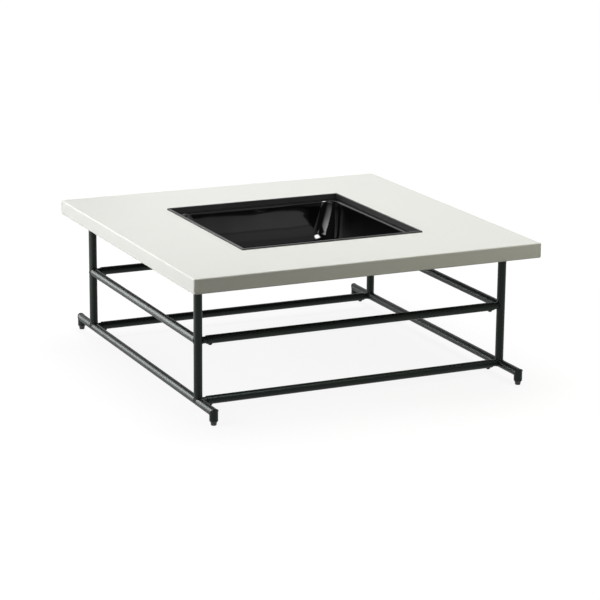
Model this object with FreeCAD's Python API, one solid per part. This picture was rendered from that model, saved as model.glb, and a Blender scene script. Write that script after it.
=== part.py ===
"""Square fire pit table: folded steel top, bolted tube frame and a drop-in enamelled pan.

Origin on the floor under the centre of the table, +Z up, +X to the right and +Y to the back.
All lengths are in millimetres.
"""
import FreeCAD
import Part
import math
import os

Vector = FreeCAD.Vector

# Top: one folded sheet with a skirt all round and an opening in the middle
TOP_WIDTH = 1100.0
TOP_DEPTH = 1100.0
TABLE_HEIGHT = 427.0
SKIRT_HEIGHT = 45.0
SKIN = 2.0
TOP_BEND = 4.0
RETURN_WIDTH = 20.0
OPENING_WIDTH = 586.0
OPENING_DEPTH = 586.0
OPENING_FOLD = 14.0
OPENING_BEND = 1.5

# Bearers: channels welded under the skin, open side up
BEARER_HEIGHT = 22.0
BEARER_WALL = 2.0
CROSS_BEARER_WIDTH = 40.0
SIDE_BEARER_WIDTH = 60.0
BEARER_END_GAP = 2.0

# Collar: flat bars round the opening that stand a little above the top
COLLAR_GAP = 1.0
COLLAR_BAR = 6.0
COLLAR_PROUD = 4.0
COLLAR_EDGE = 0.8
LEDGE_WIDTH = 12.0
LEDGE_THICKNESS = 3.0
TAB_THICKNESS = 3.0
TAB_WIDTH = 30.0
TAB_SPACING = 320.0
TAB_EDGE = 14.0

# Fire pan: pressed sheet, its flange resting on the ledge
PAN_SHEET = 1.6
PAN_GAP = 1.0
PAN_RECESS = 11.0
PAN_FLANGE = 14.0
PAN_FLANGE_CORNER = 4.0
PAN_ROLL = 6.0
PAN_CORNER = 45.0
PAN_CORNER_GROWTH = 0.15
PAN_CORNER_DRAW = 0.35
PAN_DEPTH = 130.0
PAN_WALL_RADIUS = 350.0
PAN_BOTTOM_RADIUS = 50.0
PAN_DRAFT_DEG = 6.0
PAN_ROLL_STEPS = 8
PAN_WALL_STEPS = 4
PAN_BOTTOM_STEPS = 8

# Tube frame
TUBE_DIAMETER = 25.0
TUBE_WALL = 2.0
LEG_INSET_X = 61.0
LEG_INSET_Y = 120.0
LOW_TUBE_Z = 37.0
MID_TUBE_Z = 215.0
FOOT_OVERHANG = 113.5
LEG_PLATE_LENGTH = 90.0
LEG_PLATE_THICKNESS = 4.0
LEG_PLATE_MARGIN = 2.0
LEG_PLATE_SCREW_EDGE = 13.0

# Rails: tubes sleeved over stubs that are welded to the side frames
STUB_CLEARANCE = 0.5
STUB_WALL = 2.0
STUB_REACH = 80.0
RAIL_END_FROM_LEG = 26.0
BOLT_FROM_LEG = 37.0

# Levelling feet
GLIDE_HEIGHT = 11.7
GLIDE_TOP_DIAMETER = 19.5
GLIDE_BOTTOM_DIAMETER = 15.5
GLIDE_EDGE = 1.2
GLIDE_TOP_GAP = 0.3
STUD_DIAMETER = 8.0
STUD_LENGTH = 31.0
STUD_SEAT_DEPTH = 6.7
STUD_CLEARANCE = 0.05
INSERT_RIM = 1.2
INSERT_RIM_SETBACK = 0.5
INSERT_DEPTH = 12.0
INSERT_CLEARANCE = 0.1

# Screws and nuts
SCREW_DIAMETER = 6.0
SCREW_HOLE = 6.6
SCREW_HEAD_DIAMETER = 10.5
SCREW_FLANGE_DIAMETER = 13.0
SCREW_FLANGE = 1.1
SCREW_HEAD_HEIGHT = 3.6
SCREW_SOCKET_FLATS = 4.0
SCREW_SOCKET_DEPTH = 2.0
SCREW_HEAD_ROUND = 1.8
NUT_FLATS = 10.0
NUT_HEIGHT = 5.0
NUT_THREAD_CLEARANCE = 0.05
SCREW_TIP = 2.0

# Places and sizes that follow from the values above
TOP_BOTTOM = TABLE_HEIGHT - SKIRT_HEIGHT
SKIN_UNDERSIDE = TABLE_HEIGHT - SKIN
BEARER_BOTTOM = SKIN_UNDERSIDE - BEARER_HEIGHT
COLLAR_OUTER_X = OPENING_WIDTH / 2 - COLLAR_GAP
COLLAR_OUTER_Y = OPENING_DEPTH / 2 - COLLAR_GAP
COLLAR_INNER_X = COLLAR_OUTER_X - COLLAR_BAR
COLLAR_INNER_Y = COLLAR_OUTER_Y - COLLAR_BAR
COLLAR_TOP = TABLE_HEIGHT + COLLAR_PROUD
FLANGE_TOP = TABLE_HEIGHT - PAN_RECESS
LEDGE_TOP = FLANGE_TOP - PAN_SHEET
TUBE_RADIUS = TUBE_DIAMETER / 2
TUBE_BORE_RADIUS = TUBE_RADIUS - TUBE_WALL
STUB_RADIUS = TUBE_BORE_RADIUS - STUB_CLEARANCE
STUB_BORE_RADIUS = STUB_RADIUS - STUB_WALL
LEG_X = TOP_WIDTH / 2 - LEG_INSET_X
LEG_Y = TOP_DEPTH / 2 - LEG_INSET_Y
FOOT_Y = LEG_Y + FOOT_OVERHANG
LEG_TOP = BEARER_BOTTOM - LEG_PLATE_THICKNESS
LEG_PLATE_WIDTH = SIDE_BEARER_WIDTH - 2 * LEG_PLATE_MARGIN
PLATE_SCREW_OFFSET = LEG_PLATE_LENGTH / 2 - LEG_PLATE_SCREW_EDGE
INSERT_RIM_BOTTOM = GLIDE_HEIGHT + GLIDE_TOP_GAP
FOOT_TUBE_BOTTOM = INSERT_RIM_BOTTOM + INSERT_RIM
RAIL_LEVELS = {"low": LOW_TUBE_Z, "mid": MID_TUBE_Z}
SIDES_X = {"left": -1, "right": 1}
SIDES_Y = {"front": -1, "back": 1}
AXIS_X = Vector(1, 0, 0)
AXIS_Z = Vector(0, 0, 1)
TINY = 0.01


def span_box(x_span, y_span, z_span):
    """Box between two limits on each axis, given in either order."""
    lows = [min(span) for span in (x_span, y_span, z_span)]
    sizes = [abs(span[1] - span[0]) for span in (x_span, y_span, z_span)]
    return Part.makeBox(*sizes, Vector(*lows))


def centred_box(half_x, half_y, z_span):
    return span_box((-half_x, half_x), (-half_y, half_y), z_span)


def rod(radius, start, end):
    direction = end - start
    return Part.makeCylinder(radius, direction.Length, start, direction)


def tube(outer_radius, inner_radius, start, end):
    return rod(outer_radius, start, end).cut(rod(inner_radius, start, end))


def prism(points, direction):
    """Straight prism over a closed outline of points."""
    outline = Part.makePolygon(points + [points[0]])
    return Part.Face(outline).extrude(direction)


def hexagon(across_flats, height, centre):
    radius = across_flats / math.sqrt(3)
    corners = []
    for index in range(6):
        angle = math.radians(60 * index)
        corners.append(centre + Vector(radius * math.cos(angle), radius * math.sin(angle), 0))
    return prism(corners, AXIS_Z * height)


def edges_where(shape, test):
    return [edge for edge in shape.Edges if test(edge.BoundBox)]


def rounded_box(half_x, half_y, z_span, radius):
    box = centred_box(half_x, half_y, z_span)
    return box.makeFillet(radius, box.Edges)


def corners_of_frame():
    """The four leg places, each with its name and its signs along X and Y."""
    for y_name, y_sign in SIDES_Y.items():
        for x_name, x_sign in SIDES_X.items():
            yield f"{y_name}_{x_name}", x_sign, y_sign


# Top

def top_skin():
    """Folded sheet: flat top, skirt, inward return at the bottom and a folded-down opening."""
    half_x, half_y = TOP_WIDTH / 2, TOP_DEPTH / 2
    outer = rounded_box(half_x, half_y, (TOP_BOTTOM, TABLE_HEIGHT), TOP_BEND)
    inside = rounded_box(half_x - SKIN, half_y - SKIN, (TOP_BOTTOM + SKIN, SKIN_UNDERSIDE),
                         TOP_BEND - SKIN)
    below = centred_box(half_x - RETURN_WIDTH, half_y - RETURN_WIDTH,
                        (TOP_BOTTOM - SKIN, TOP_BOTTOM + 2 * SKIN))
    fold_span = (TABLE_HEIGHT - OPENING_FOLD, TABLE_HEIGHT)
    fold = centred_box(OPENING_WIDTH / 2 + SKIN, OPENING_DEPTH / 2 + SKIN, fold_span)
    opening = centred_box(OPENING_WIDTH / 2, OPENING_DEPTH / 2,
                          (TOP_BOTTOM, TABLE_HEIGHT + SKIN))
    skin = outer.cut(inside).cut(below).fuse(fold).cut(opening).removeSplitter()
    rim = edges_where(skin, lambda box: box.ZMin > TABLE_HEIGHT - TINY
                      and box.XLength < OPENING_WIDTH + TINY and box.YLength < OPENING_DEPTH + TINY)
    return skin.makeFillet(OPENING_BEND, rim)


def channel(x_span, y_span, runs_along_x):
    """Channel under the skin with its web at the bottom."""
    outer = span_box(x_span, y_span, (BEARER_BOTTOM, SKIN_UNDERSIDE))
    hollow_x, hollow_y = sorted(x_span), sorted(y_span)
    if runs_along_x:
        hollow_y = (hollow_y[0] + BEARER_WALL, hollow_y[1] - BEARER_WALL)
    else:
        hollow_x = (hollow_x[0] + BEARER_WALL, hollow_x[1] - BEARER_WALL)
    return outer.cut(span_box(hollow_x, hollow_y, (BEARER_BOTTOM + BEARER_WALL, SKIN_UNDERSIDE)))


def screw_hole(x, y, thickness_below):
    """Hole through a bearer's web and through what is screwed to it from below."""
    return rod(SCREW_HOLE / 2, Vector(x, y, BEARER_BOTTOM - thickness_below),
               Vector(x, y, BEARER_BOTTOM + BEARER_WALL))


def bearers():
    """Two side bearers over the legs and four bearers framing the opening."""
    nodes = {}
    reach_y = TOP_DEPTH / 2 - SKIN - BEARER_END_GAP
    side_inner = LEG_X - SIDE_BEARER_WIDTH / 2
    for name, sign in SIDES_X.items():
        bearer = channel((sign * side_inner, sign * (side_inner + SIDE_BEARER_WIDTH)),
                         (-reach_y, reach_y), runs_along_x=False)
        for x, y in leg_plate_screw_places(sign):
            bearer = bearer.cut(screw_hole(x, y, LEG_PLATE_THICKNESS))
        nodes[f"side_bearer_{name}"] = bearer
    fold_y = OPENING_DEPTH / 2 + SKIN
    for name, sign in SIDES_Y.items():
        bearer = channel((-side_inner, side_inner),
                         (sign * fold_y, sign * (fold_y + CROSS_BEARER_WIDTH)),
                         runs_along_x=True)
        nodes[f"cross_bearer_{name}"] = drilled_for_tabs(bearer, name)
    fold_x = OPENING_WIDTH / 2 + SKIN
    for name, sign in SIDES_X.items():
        bearer = channel((sign * fold_x, sign * (fold_x + CROSS_BEARER_WIDTH)),
                         (-fold_y, fold_y), runs_along_x=False)
        nodes[f"opening_bearer_{name}"] = drilled_for_tabs(bearer, name)
    return nodes


def drilled_for_tabs(bearer, side):
    for x, y in tab_screw_places(side):
        bearer = bearer.cut(screw_hole(x, y, TAB_THICKNESS))
    return bearer


def leg_plate_screw_places(x_sign):
    for y_sign in SIDES_Y.values():
        for offset in (-PLATE_SCREW_OFFSET, PLATE_SCREW_OFFSET):
            yield x_sign * LEG_X, y_sign * LEG_Y + offset


# Collar

def frame_side(side, outer_x, outer_y, width, z_span):
    """One mitred bar of a rectangular frame, given the frame's outer half sizes."""
    inner_x, inner_y = outer_x - width, outer_y - width
    z_low, z_high = z_span
    if side in SIDES_Y:
        sign = SIDES_Y[side]
        outline = [(-outer_x, sign * outer_y), (outer_x, sign * outer_y),
                   (inner_x, sign * inner_y), (-inner_x, sign * inner_y)]
    else:
        sign = SIDES_X[side]
        outline = [(sign * outer_x, -outer_y), (sign * outer_x, outer_y),
                   (sign * inner_x, inner_y), (sign * inner_x, -inner_y)]
    points = [Vector(x, y, z_low) for x, y in outline]
    return prism(points, AXIS_Z * (z_high - z_low))


def collar():
    """Four mitred bars with a ledge strip welded inside each one."""
    nodes = {}
    for side in (*SIDES_Y, *SIDES_X):
        bar = frame_side(side, COLLAR_OUTER_X, COLLAR_OUTER_Y, COLLAR_BAR,
                         (BEARER_BOTTOM, COLLAR_TOP))
        along_x = side in SIDES_Y
        top_edges = edges_where(bar, lambda box: box.ZMin > COLLAR_TOP - TINY
                                and (box.YLength if along_x else box.XLength) < TINY)
        nodes[f"collar_bar_{side}"] = bar.makeFillet(COLLAR_EDGE, top_edges)
        nodes[f"pan_ledge_{side}"] = frame_side(side, COLLAR_INNER_X, COLLAR_INNER_Y, LEDGE_WIDTH,
                                                (LEDGE_TOP - LEDGE_THICKNESS, LEDGE_TOP))
    return nodes


def tab_screw_places(side):
    """Where the collar tabs of one side are screwed to its bearer."""
    for offset in (-TAB_SPACING / 2, TAB_SPACING / 2):
        if side in SIDES_Y:
            yield offset, SIDES_Y[side] * (OPENING_DEPTH / 2 + SKIN + CROSS_BEARER_WIDTH / 2)
        else:
            yield SIDES_X[side] * (OPENING_WIDTH / 2 + SKIN + CROSS_BEARER_WIDTH / 2), offset


def collar_tabs():
    """Flat tabs under the collar bars that reach out under the bearers."""
    tabs = []
    z_span = (BEARER_BOTTOM - TAB_THICKNESS, BEARER_BOTTOM)
    for side in (*SIDES_Y, *SIDES_X):
        for x, y in tab_screw_places(side):
            if side in SIDES_Y:
                sign = SIDES_Y[side]
                tab = span_box((x - TAB_WIDTH / 2, x + TAB_WIDTH / 2),
                               (sign * COLLAR_INNER_Y, y + sign * TAB_EDGE), z_span)
            else:
                sign = SIDES_X[side]
                tab = span_box((sign * COLLAR_INNER_X, x + sign * TAB_EDGE),
                               (y - TAB_WIDTH / 2, y + TAB_WIDTH / 2), z_span)
            tabs.append(tab.cut(screw_hole(x, y, TAB_THICKNESS)))
    return tabs


# Fire pan

def pan_zones():
    """Contours down the pan's upper face: rolled edge, wall and bottom, each a list of its own.

    A contour is how far in it lies, its corner radius, its depth and the sheet's slope from
    upright. The wall is one long hollow arc between the rolled edge and the bottom radius.
    """
    draft = math.radians(PAN_DRAFT_DEG)
    flat = math.pi / 2
    roll_drop = PAN_ROLL * (1 - math.sin(draft))
    wall_end = math.asin((PAN_DEPTH - roll_drop - PAN_BOTTOM_RADIUS + PAN_WALL_RADIUS * math.sin(draft))
                         / (PAN_WALL_RADIUS - PAN_BOTTOM_RADIUS))
    roll = []
    for slope in spread(flat, draft, PAN_ROLL_STEPS):
        inset = PAN_ROLL * math.cos(slope)
        roll.append((inset, PAN_CORNER + PAN_ROLL - inset, PAN_ROLL * (1 - math.sin(slope)), slope))
    top_inset, top_radius, top_depth = roll[-1][:3]
    wall = []
    for slope in spread(draft, wall_end, PAN_WALL_STEPS):
        wall.append((top_inset + PAN_WALL_RADIUS * (math.cos(draft) - math.cos(slope)),
                     top_radius + PAN_CORNER_GROWTH * PAN_WALL_RADIUS * (slope - draft),
                     top_depth + PAN_WALL_RADIUS * (math.sin(slope) - math.sin(draft)), slope))
    low_inset, low_radius, low_depth = wall[-1][:3]
    bottom = []
    for slope in spread(wall_end, flat, PAN_BOTTOM_STEPS):
        inward = PAN_BOTTOM_RADIUS * (math.cos(wall_end) - math.cos(slope))
        bottom.append((low_inset + inward, low_radius - PAN_CORNER_DRAW * inward,
                       low_depth + PAN_BOTTOM_RADIUS * (math.sin(slope) - math.sin(wall_end)), slope))
    return roll, wall, bottom


def spread(first, last, steps):
    return [first + (last - first) * step / steps for step in range(steps + 1)]


def rounded_outline(half_x, half_y, radius, level):
    """Closed outline of a rectangle with round corners at one level."""
    reach_x = half_x - radius
    reach_y = half_y - radius
    diagonal = radius / math.sqrt(2)
    edges = []
    for x_sign, y_sign in ((1, 1), (-1, 1), (-1, -1), (1, -1)):
        on_x_side = Vector(x_sign * half_x, y_sign * reach_y, level)
        on_y_side = Vector(x_sign * reach_x, y_sign * half_y, level)
        mid = Vector(x_sign * (reach_x + diagonal), y_sign * (reach_y + diagonal), level)
        starts_on_x = x_sign == y_sign
        start, end = (on_x_side, on_y_side) if starts_on_x else (on_y_side, on_x_side)
        if starts_on_x:
            following = Vector(-x_sign * reach_x, y_sign * half_y, level)
        else:
            following = Vector(x_sign * half_x, -y_sign * reach_y, level)
        edges.append(Part.Arc(start, mid, end).toShape())
        edges.append(Part.makeLine(end, following))
    return Part.Wire(edges)


def pan_face_solid(thickness):
    """Everything inside one face of the pan's sheet: 0 is its upper face, the sheet its underside."""
    lofts = []
    for zone in pan_zones():
        outlines = []
        for inset, radius, depth, slope in zone:
            out = thickness * math.cos(slope)
            outlines.append(rounded_outline(COLLAR_INNER_X - PAN_GAP - PAN_FLANGE - inset + out,
                                            COLLAR_INNER_Y - PAN_GAP - PAN_FLANGE - inset + out,
                                            radius + out, FLANGE_TOP - depth - thickness * math.sin(slope)))
        lofts.append(Part.makeLoft(outlines, True, False))
    return lofts[0].multiFuse(lofts[1:])


def fire_pan():
    """Pressed pan: its flange and outside form, less the form of its upper face."""
    flange = upright_rounded(COLLAR_INNER_X - PAN_GAP, COLLAR_INNER_Y - PAN_GAP,
                             (LEDGE_TOP, FLANGE_TOP), PAN_FLANGE_CORNER)
    return flange.fuse(pan_face_solid(PAN_SHEET)).cut(pan_face_solid(0)).removeSplitter()


def upright_rounded(half_x, half_y, z_span, radius):
    box = centred_box(half_x, half_y, z_span)
    upright = edges_where(box, lambda bounds: max(bounds.XLength, bounds.YLength) < TINY)
    return box.makeFillet(radius, upright)


# Side frames

def leg(x_sign, y_sign):
    """Upright tube, coped at its foot to the low side tube."""
    x, y = x_sign * LEG_X, y_sign * LEG_Y
    upright = tube(TUBE_RADIUS, TUBE_BORE_RADIUS, Vector(x, y, LOW_TUBE_Z), Vector(x, y, LEG_TOP))
    return upright.cut(rod(TUBE_RADIUS, Vector(x, y - TUBE_DIAMETER, LOW_TUBE_Z),
                           Vector(x, y + TUBE_DIAMETER, LOW_TUBE_Z)))


def leg_plate(x_sign, y_sign):
    x, y = x_sign * LEG_X, y_sign * LEG_Y
    plate = span_box((x - LEG_PLATE_WIDTH / 2, x + LEG_PLATE_WIDTH / 2),
                     (y - LEG_PLATE_LENGTH / 2, y + LEG_PLATE_LENGTH / 2),
                     (LEG_TOP, BEARER_BOTTOM))
    for offset in (-PLATE_SCREW_OFFSET, PLATE_SCREW_OFFSET):
        plate = plate.cut(rod(SCREW_HOLE / 2, Vector(x, y + offset, LEG_TOP),
                              Vector(x, y + offset, BEARER_BOTTOM)))
    return plate


def mitre_cutter(x, y_sign, above):
    """Wedge on one side of the foot elbow's mitre plane."""
    reach = 2 * TUBE_DIAMETER
    side = -1 if above else 1
    outline = [(-reach, -reach), (reach, reach), (side * reach, -side * reach)]
    points = [Vector(x - reach, y_sign * (FOOT_Y + out), LOW_TUBE_Z + up) for out, up in outline]
    return prism(points, AXIS_X * (2 * reach))


def low_side_tube(x_sign):
    """Tube under both legs, mitred at each end for its foot."""
    x = x_sign * LEG_X
    reach = FOOT_Y + TUBE_DIAMETER
    body = tube(TUBE_RADIUS, TUBE_BORE_RADIUS, Vector(x, -reach, LOW_TUBE_Z),
                Vector(x, reach, LOW_TUBE_Z))
    for y_sign in SIDES_Y.values():
        body = body.cut(mitre_cutter(x, y_sign, above=False))
        body = body.cut(beyond_foot(x, y_sign))
    return body


def beyond_foot(x, y_sign):
    reach = 2 * TUBE_DIAMETER
    return span_box((x - reach, x + reach),
                    (y_sign * (FOOT_Y + TUBE_RADIUS), y_sign * (FOOT_Y + 2 * reach)),
                    (LOW_TUBE_Z - reach, LOW_TUBE_Z + reach))


def foot_drop(x_sign, y_sign):
    """Short upright tube of the foot, mitred at its top."""
    x, y = x_sign * LEG_X, y_sign * FOOT_Y
    drop = tube(TUBE_RADIUS, TUBE_BORE_RADIUS, Vector(x, y, FOOT_TUBE_BOTTOM),
                Vector(x, y, LOW_TUBE_Z + TUBE_DIAMETER))
    return drop.cut(mitre_cutter(x, y_sign, above=True))


def mid_side_tube(x_sign):
    """Level tube between the two legs of one side, coped to both."""
    x = x_sign * LEG_X
    body = tube(TUBE_RADIUS, TUBE_BORE_RADIUS, Vector(x, -LEG_Y, MID_TUBE_Z),
                Vector(x, LEG_Y, MID_TUBE_Z))
    for y_sign in SIDES_Y.values():
        body = body.cut(leg_space(x_sign, y_sign))
    return body


def leg_space(x_sign, y_sign):
    x, y = x_sign * LEG_X, y_sign * LEG_Y
    return rod(TUBE_RADIUS, Vector(x, y, 0), Vector(x, y, LEG_TOP))


def rail_stub(x_sign, y_sign, level):
    """Stub welded to the side frame, which a rail slides over."""
    x, y = x_sign * LEG_X, y_sign * LEG_Y
    stub = tube(STUB_RADIUS, STUB_BORE_RADIUS, Vector(x, y, level),
                Vector(x - x_sign * STUB_REACH, y, level))
    side_tube = rod(TUBE_RADIUS, Vector(x, -FOOT_Y, level), Vector(x, FOOT_Y, level))
    return stub.cut(leg_space(x_sign, y_sign)).cut(side_tube).cut(bolt_hole(x_sign, y, level))


def bolt_place(x_sign):
    return x_sign * (LEG_X - BOLT_FROM_LEG)


def bolt_hole(x_sign, y, level):
    """Hole through the lower walls of a rail and its stub."""
    x = bolt_place(x_sign)
    return rod(SCREW_HOLE / 2, Vector(x, y, level - TUBE_DIAMETER), Vector(x, y, level))


def rail(y_sign, level):
    y = y_sign * LEG_Y
    reach = LEG_X - RAIL_END_FROM_LEG
    body = tube(TUBE_RADIUS, TUBE_BORE_RADIUS, Vector(-reach, y, level), Vector(reach, y, level))
    for x_sign in SIDES_X.values():
        body = body.cut(bolt_hole(x_sign, y, level))
    return body


# Screws, nuts and feet

def screw(x, y, z, length):
    """Flanged button-head screw pointing up, with its head's seat at the given height."""
    shank = rod(SCREW_DIAMETER / 2, Vector(x, y, z), Vector(x, y, z + length))
    flange = rod(SCREW_FLANGE_DIAMETER / 2, Vector(x, y, z - SCREW_FLANGE), Vector(x, y, z))
    bottom = z - SCREW_HEAD_HEIGHT
    dome = rod(SCREW_HEAD_DIAMETER / 2, Vector(x, y, bottom), Vector(x, y, z))
    rim = edges_where(dome, lambda box: box.ZMax < bottom + TINY)
    dome = dome.makeFillet(SCREW_HEAD_ROUND, rim)
    socket = hexagon(SCREW_SOCKET_FLATS, SCREW_SOCKET_DEPTH, Vector(x, y, bottom))
    return dome.fuse(flange).fuse(shank).removeSplitter().cut(socket)


def nut(x, y, z):
    """Hexagon nut standing on the given height."""
    bore = SCREW_DIAMETER / 2 + NUT_THREAD_CLEARANCE
    body = hexagon(NUT_FLATS, NUT_HEIGHT, Vector(x, y, z))
    return body.cut(rod(bore, Vector(x, y, z), Vector(x, y, z + NUT_HEIGHT)))


def stub_nut(x, y, level):
    """Round nut inside a stub, shaped to the stub's bore where it is welded."""
    bottom = level - STUB_BORE_RADIUS
    top = bottom + NUT_HEIGHT
    body = rod(NUT_FLATS / 2, Vector(x, y, bottom), Vector(x, y, top))
    body = body.common(rod(STUB_BORE_RADIUS, Vector(x - NUT_FLATS, y, level),
                           Vector(x + NUT_FLATS, y, level)))
    bore = SCREW_DIAMETER / 2 + NUT_THREAD_CLEARANCE
    return body.cut(rod(bore, Vector(x, y, bottom), Vector(x, y, top)))


def fasteners():
    """Screws and nuts of the leg plates, the collar tabs and the rails."""
    plate_screws, plate_nuts, tab_screws, tab_nuts = [], [], [], []
    nut_seat = BEARER_BOTTOM + BEARER_WALL
    for x_sign in SIDES_X.values():
        for x, y in leg_plate_screw_places(x_sign):
            length = LEG_PLATE_THICKNESS + BEARER_WALL + NUT_HEIGHT + SCREW_TIP
            plate_screws.append(screw(x, y, LEG_TOP, length))
            plate_nuts.append(nut(x, y, nut_seat))
    for side in (*SIDES_Y, *SIDES_X):
        for x, y in tab_screw_places(side):
            length = TAB_THICKNESS + BEARER_WALL + NUT_HEIGHT + SCREW_TIP
            tab_screws.append(screw(x, y, BEARER_BOTTOM - TAB_THICKNESS, length))
            tab_nuts.append(nut(x, y, nut_seat))
    rail_bolts, rail_nuts = [], []
    for level in RAIL_LEVELS.values():
        for x_sign in SIDES_X.values():
            for y_sign in SIDES_Y.values():
                x, y = bolt_place(x_sign), y_sign * LEG_Y
                length = TUBE_RADIUS - STUB_BORE_RADIUS + NUT_HEIGHT + SCREW_TIP
                rail_bolts.append(screw(x, y, level - TUBE_RADIUS, length))
                rail_nuts.append(stub_nut(x, y, level))
    return {
        "leg_plate_screws": plate_screws, "leg_plate_nuts": plate_nuts,
        "collar_tab_screws": tab_screws, "collar_tab_nuts": tab_nuts,
        "rail_bolts": rail_bolts, "rail_nuts": rail_nuts,
    }


def foot_insert(x, y):
    """Threaded plug pressed into the end of a foot tube."""
    top = FOOT_TUBE_BOTTOM + INSERT_DEPTH
    rim = rod(TUBE_RADIUS - INSERT_RIM_SETBACK, Vector(x, y, INSERT_RIM_BOTTOM),
              Vector(x, y, FOOT_TUBE_BOTTOM))
    body = rod(TUBE_BORE_RADIUS - INSERT_CLEARANCE, Vector(x, y, INSERT_RIM_BOTTOM),
               Vector(x, y, top))
    bore = rod(STUD_DIAMETER / 2 + STUD_CLEARANCE, Vector(x, y, INSERT_RIM_BOTTOM),
               Vector(x, y, top))
    return rim.fuse(body).removeSplitter().cut(bore)


def foot_glide(x, y):
    """Tapered glide that stands on the floor, with a blind hole for its stud."""
    glide = Part.makeCone(GLIDE_BOTTOM_DIAMETER / 2, GLIDE_TOP_DIAMETER / 2, GLIDE_HEIGHT,
                          Vector(x, y, 0))
    rim = edges_where(glide, lambda box: box.ZMax < TINY)
    glide = glide.makeFillet(GLIDE_EDGE, rim)
    return glide.cut(rod(STUD_DIAMETER / 2, Vector(x, y, GLIDE_HEIGHT - STUD_SEAT_DEPTH),
                         Vector(x, y, GLIDE_HEIGHT)))


def foot_stud(x, y):
    bottom = GLIDE_HEIGHT - STUD_SEAT_DEPTH
    return rod(STUD_DIAMETER / 2, Vector(x, y, bottom), Vector(x, y, bottom + STUD_LENGTH))


def all_nodes():
    nodes = {"top_skin": top_skin(), "fire_pan": fire_pan()}
    nodes.update(bearers())
    nodes.update(collar())
    nodes["collar_tabs"] = collar_tabs()
    for name, x_sign in SIDES_X.items():
        nodes[f"low_side_tube_{name}"] = low_side_tube(x_sign)
        nodes[f"mid_side_tube_{name}"] = mid_side_tube(x_sign)
        nodes[f"rail_stubs_{name}"] = [rail_stub(x_sign, y_sign, level)
                                       for level in RAIL_LEVELS.values()
                                       for y_sign in SIDES_Y.values()]
    for level_name, level in RAIL_LEVELS.items():
        for name, y_sign in SIDES_Y.items():
            nodes[f"{level_name}_rail_{name}"] = rail(y_sign, level)
    inserts = []
    for name, x_sign, y_sign in corners_of_frame():
        foot = (x_sign * LEG_X, y_sign * FOOT_Y)
        nodes[f"leg_{name}"] = leg(x_sign, y_sign)
        nodes[f"leg_plate_{name}"] = leg_plate(x_sign, y_sign)
        nodes[f"foot_drop_{name}"] = foot_drop(x_sign, y_sign)
        nodes[f"foot_glide_{name}"] = foot_glide(*foot)
        nodes[f"foot_stud_{name}"] = foot_stud(*foot)
        inserts.append(foot_insert(*foot))
    nodes["foot_inserts"] = inserts
    nodes.update(fasteners())
    return nodes


def write_nodes():
    """One STEP file for each node; a node of several pieces holds them as separate solids."""
    os.makedirs("parts", exist_ok=True)
    for name, shape in all_nodes().items():
        if isinstance(shape, list):
            shape = Part.makeCompound(shape)
        shape.exportStep(os.path.join("parts", f"{name}.step"))
        print(name, len(shape.Solids), "solids", "valid" if shape.isValid() else "NOT VALID",
              round(shape.Volume))


write_nodes()
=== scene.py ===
"""Square fire pit table: finishes, welds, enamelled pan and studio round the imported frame."""
import math
from collections import namedtuple

import bmesh
import bpy
from bpy.props import FloatProperty, FloatVectorProperty, PointerProperty
from mathutils import Matrix, Vector, noise


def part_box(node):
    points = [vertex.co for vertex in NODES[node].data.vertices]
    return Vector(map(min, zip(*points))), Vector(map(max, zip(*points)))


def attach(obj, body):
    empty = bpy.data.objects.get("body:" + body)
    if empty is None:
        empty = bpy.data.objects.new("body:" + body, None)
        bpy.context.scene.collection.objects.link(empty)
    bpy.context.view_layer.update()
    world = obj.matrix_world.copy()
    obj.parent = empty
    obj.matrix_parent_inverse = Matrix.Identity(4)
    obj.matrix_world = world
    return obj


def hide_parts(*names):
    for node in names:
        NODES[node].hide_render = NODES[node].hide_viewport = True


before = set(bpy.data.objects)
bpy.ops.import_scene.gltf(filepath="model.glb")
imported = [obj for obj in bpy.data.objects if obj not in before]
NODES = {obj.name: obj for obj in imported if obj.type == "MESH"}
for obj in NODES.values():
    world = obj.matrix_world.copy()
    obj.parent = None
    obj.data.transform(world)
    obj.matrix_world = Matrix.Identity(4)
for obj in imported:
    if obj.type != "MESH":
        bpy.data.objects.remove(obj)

bl_info = {
    "name": "Fire Pit Table",
    "version": (1, 0, 0),
    "blender": (4, 5, 0),
    "location": "View3D > Sidebar > Fire Pit",
    "description": "Dresses a square steel fire pit table and sets it in a pale studio",
    "category": "Object",
}

CORNERS = {"front_left": (-1, -1), "front_right": (1, -1), "back_left": (-1, 1), "back_right": (1, 1)}
BEARERS = ("side_bearer_right", "cross_bearer_back", "opening_bearer_right")

# Weld beads: lengths in metres, swellings as shares of the bead's radius

RIPPLE_PITCH = 0.0035
RIPPLE = 0.10
WANDER = 0.10
WANDER_BLOBS_PER_METRE = 90
BEAD_STEP = 0.0012
BEAD_SIDES = 8
BEAD_END = 0.35
SKEW_DIRECTION = Vector((0.31, 0.47, 0.83))  # no seam runs along it
LEG_SEAM_POINTS = 72
STUB_SEAM_POINTS = 64
SMALL_BEAD = 0.85  # of the frame's bead, at the stubs and under the top
ELBOW_MARGIN = 1.3  # bead radii between an elbow's seam and the outside of its bend
CLEAR_RUN = 0.93  # share of a side that lies clear of its corners
STUB_SEED, BEARER_END_SEED, TAB_SEED = 9, 40, 20

# Pan's section and contour: lengths in metres, slopes from upright in radians

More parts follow.
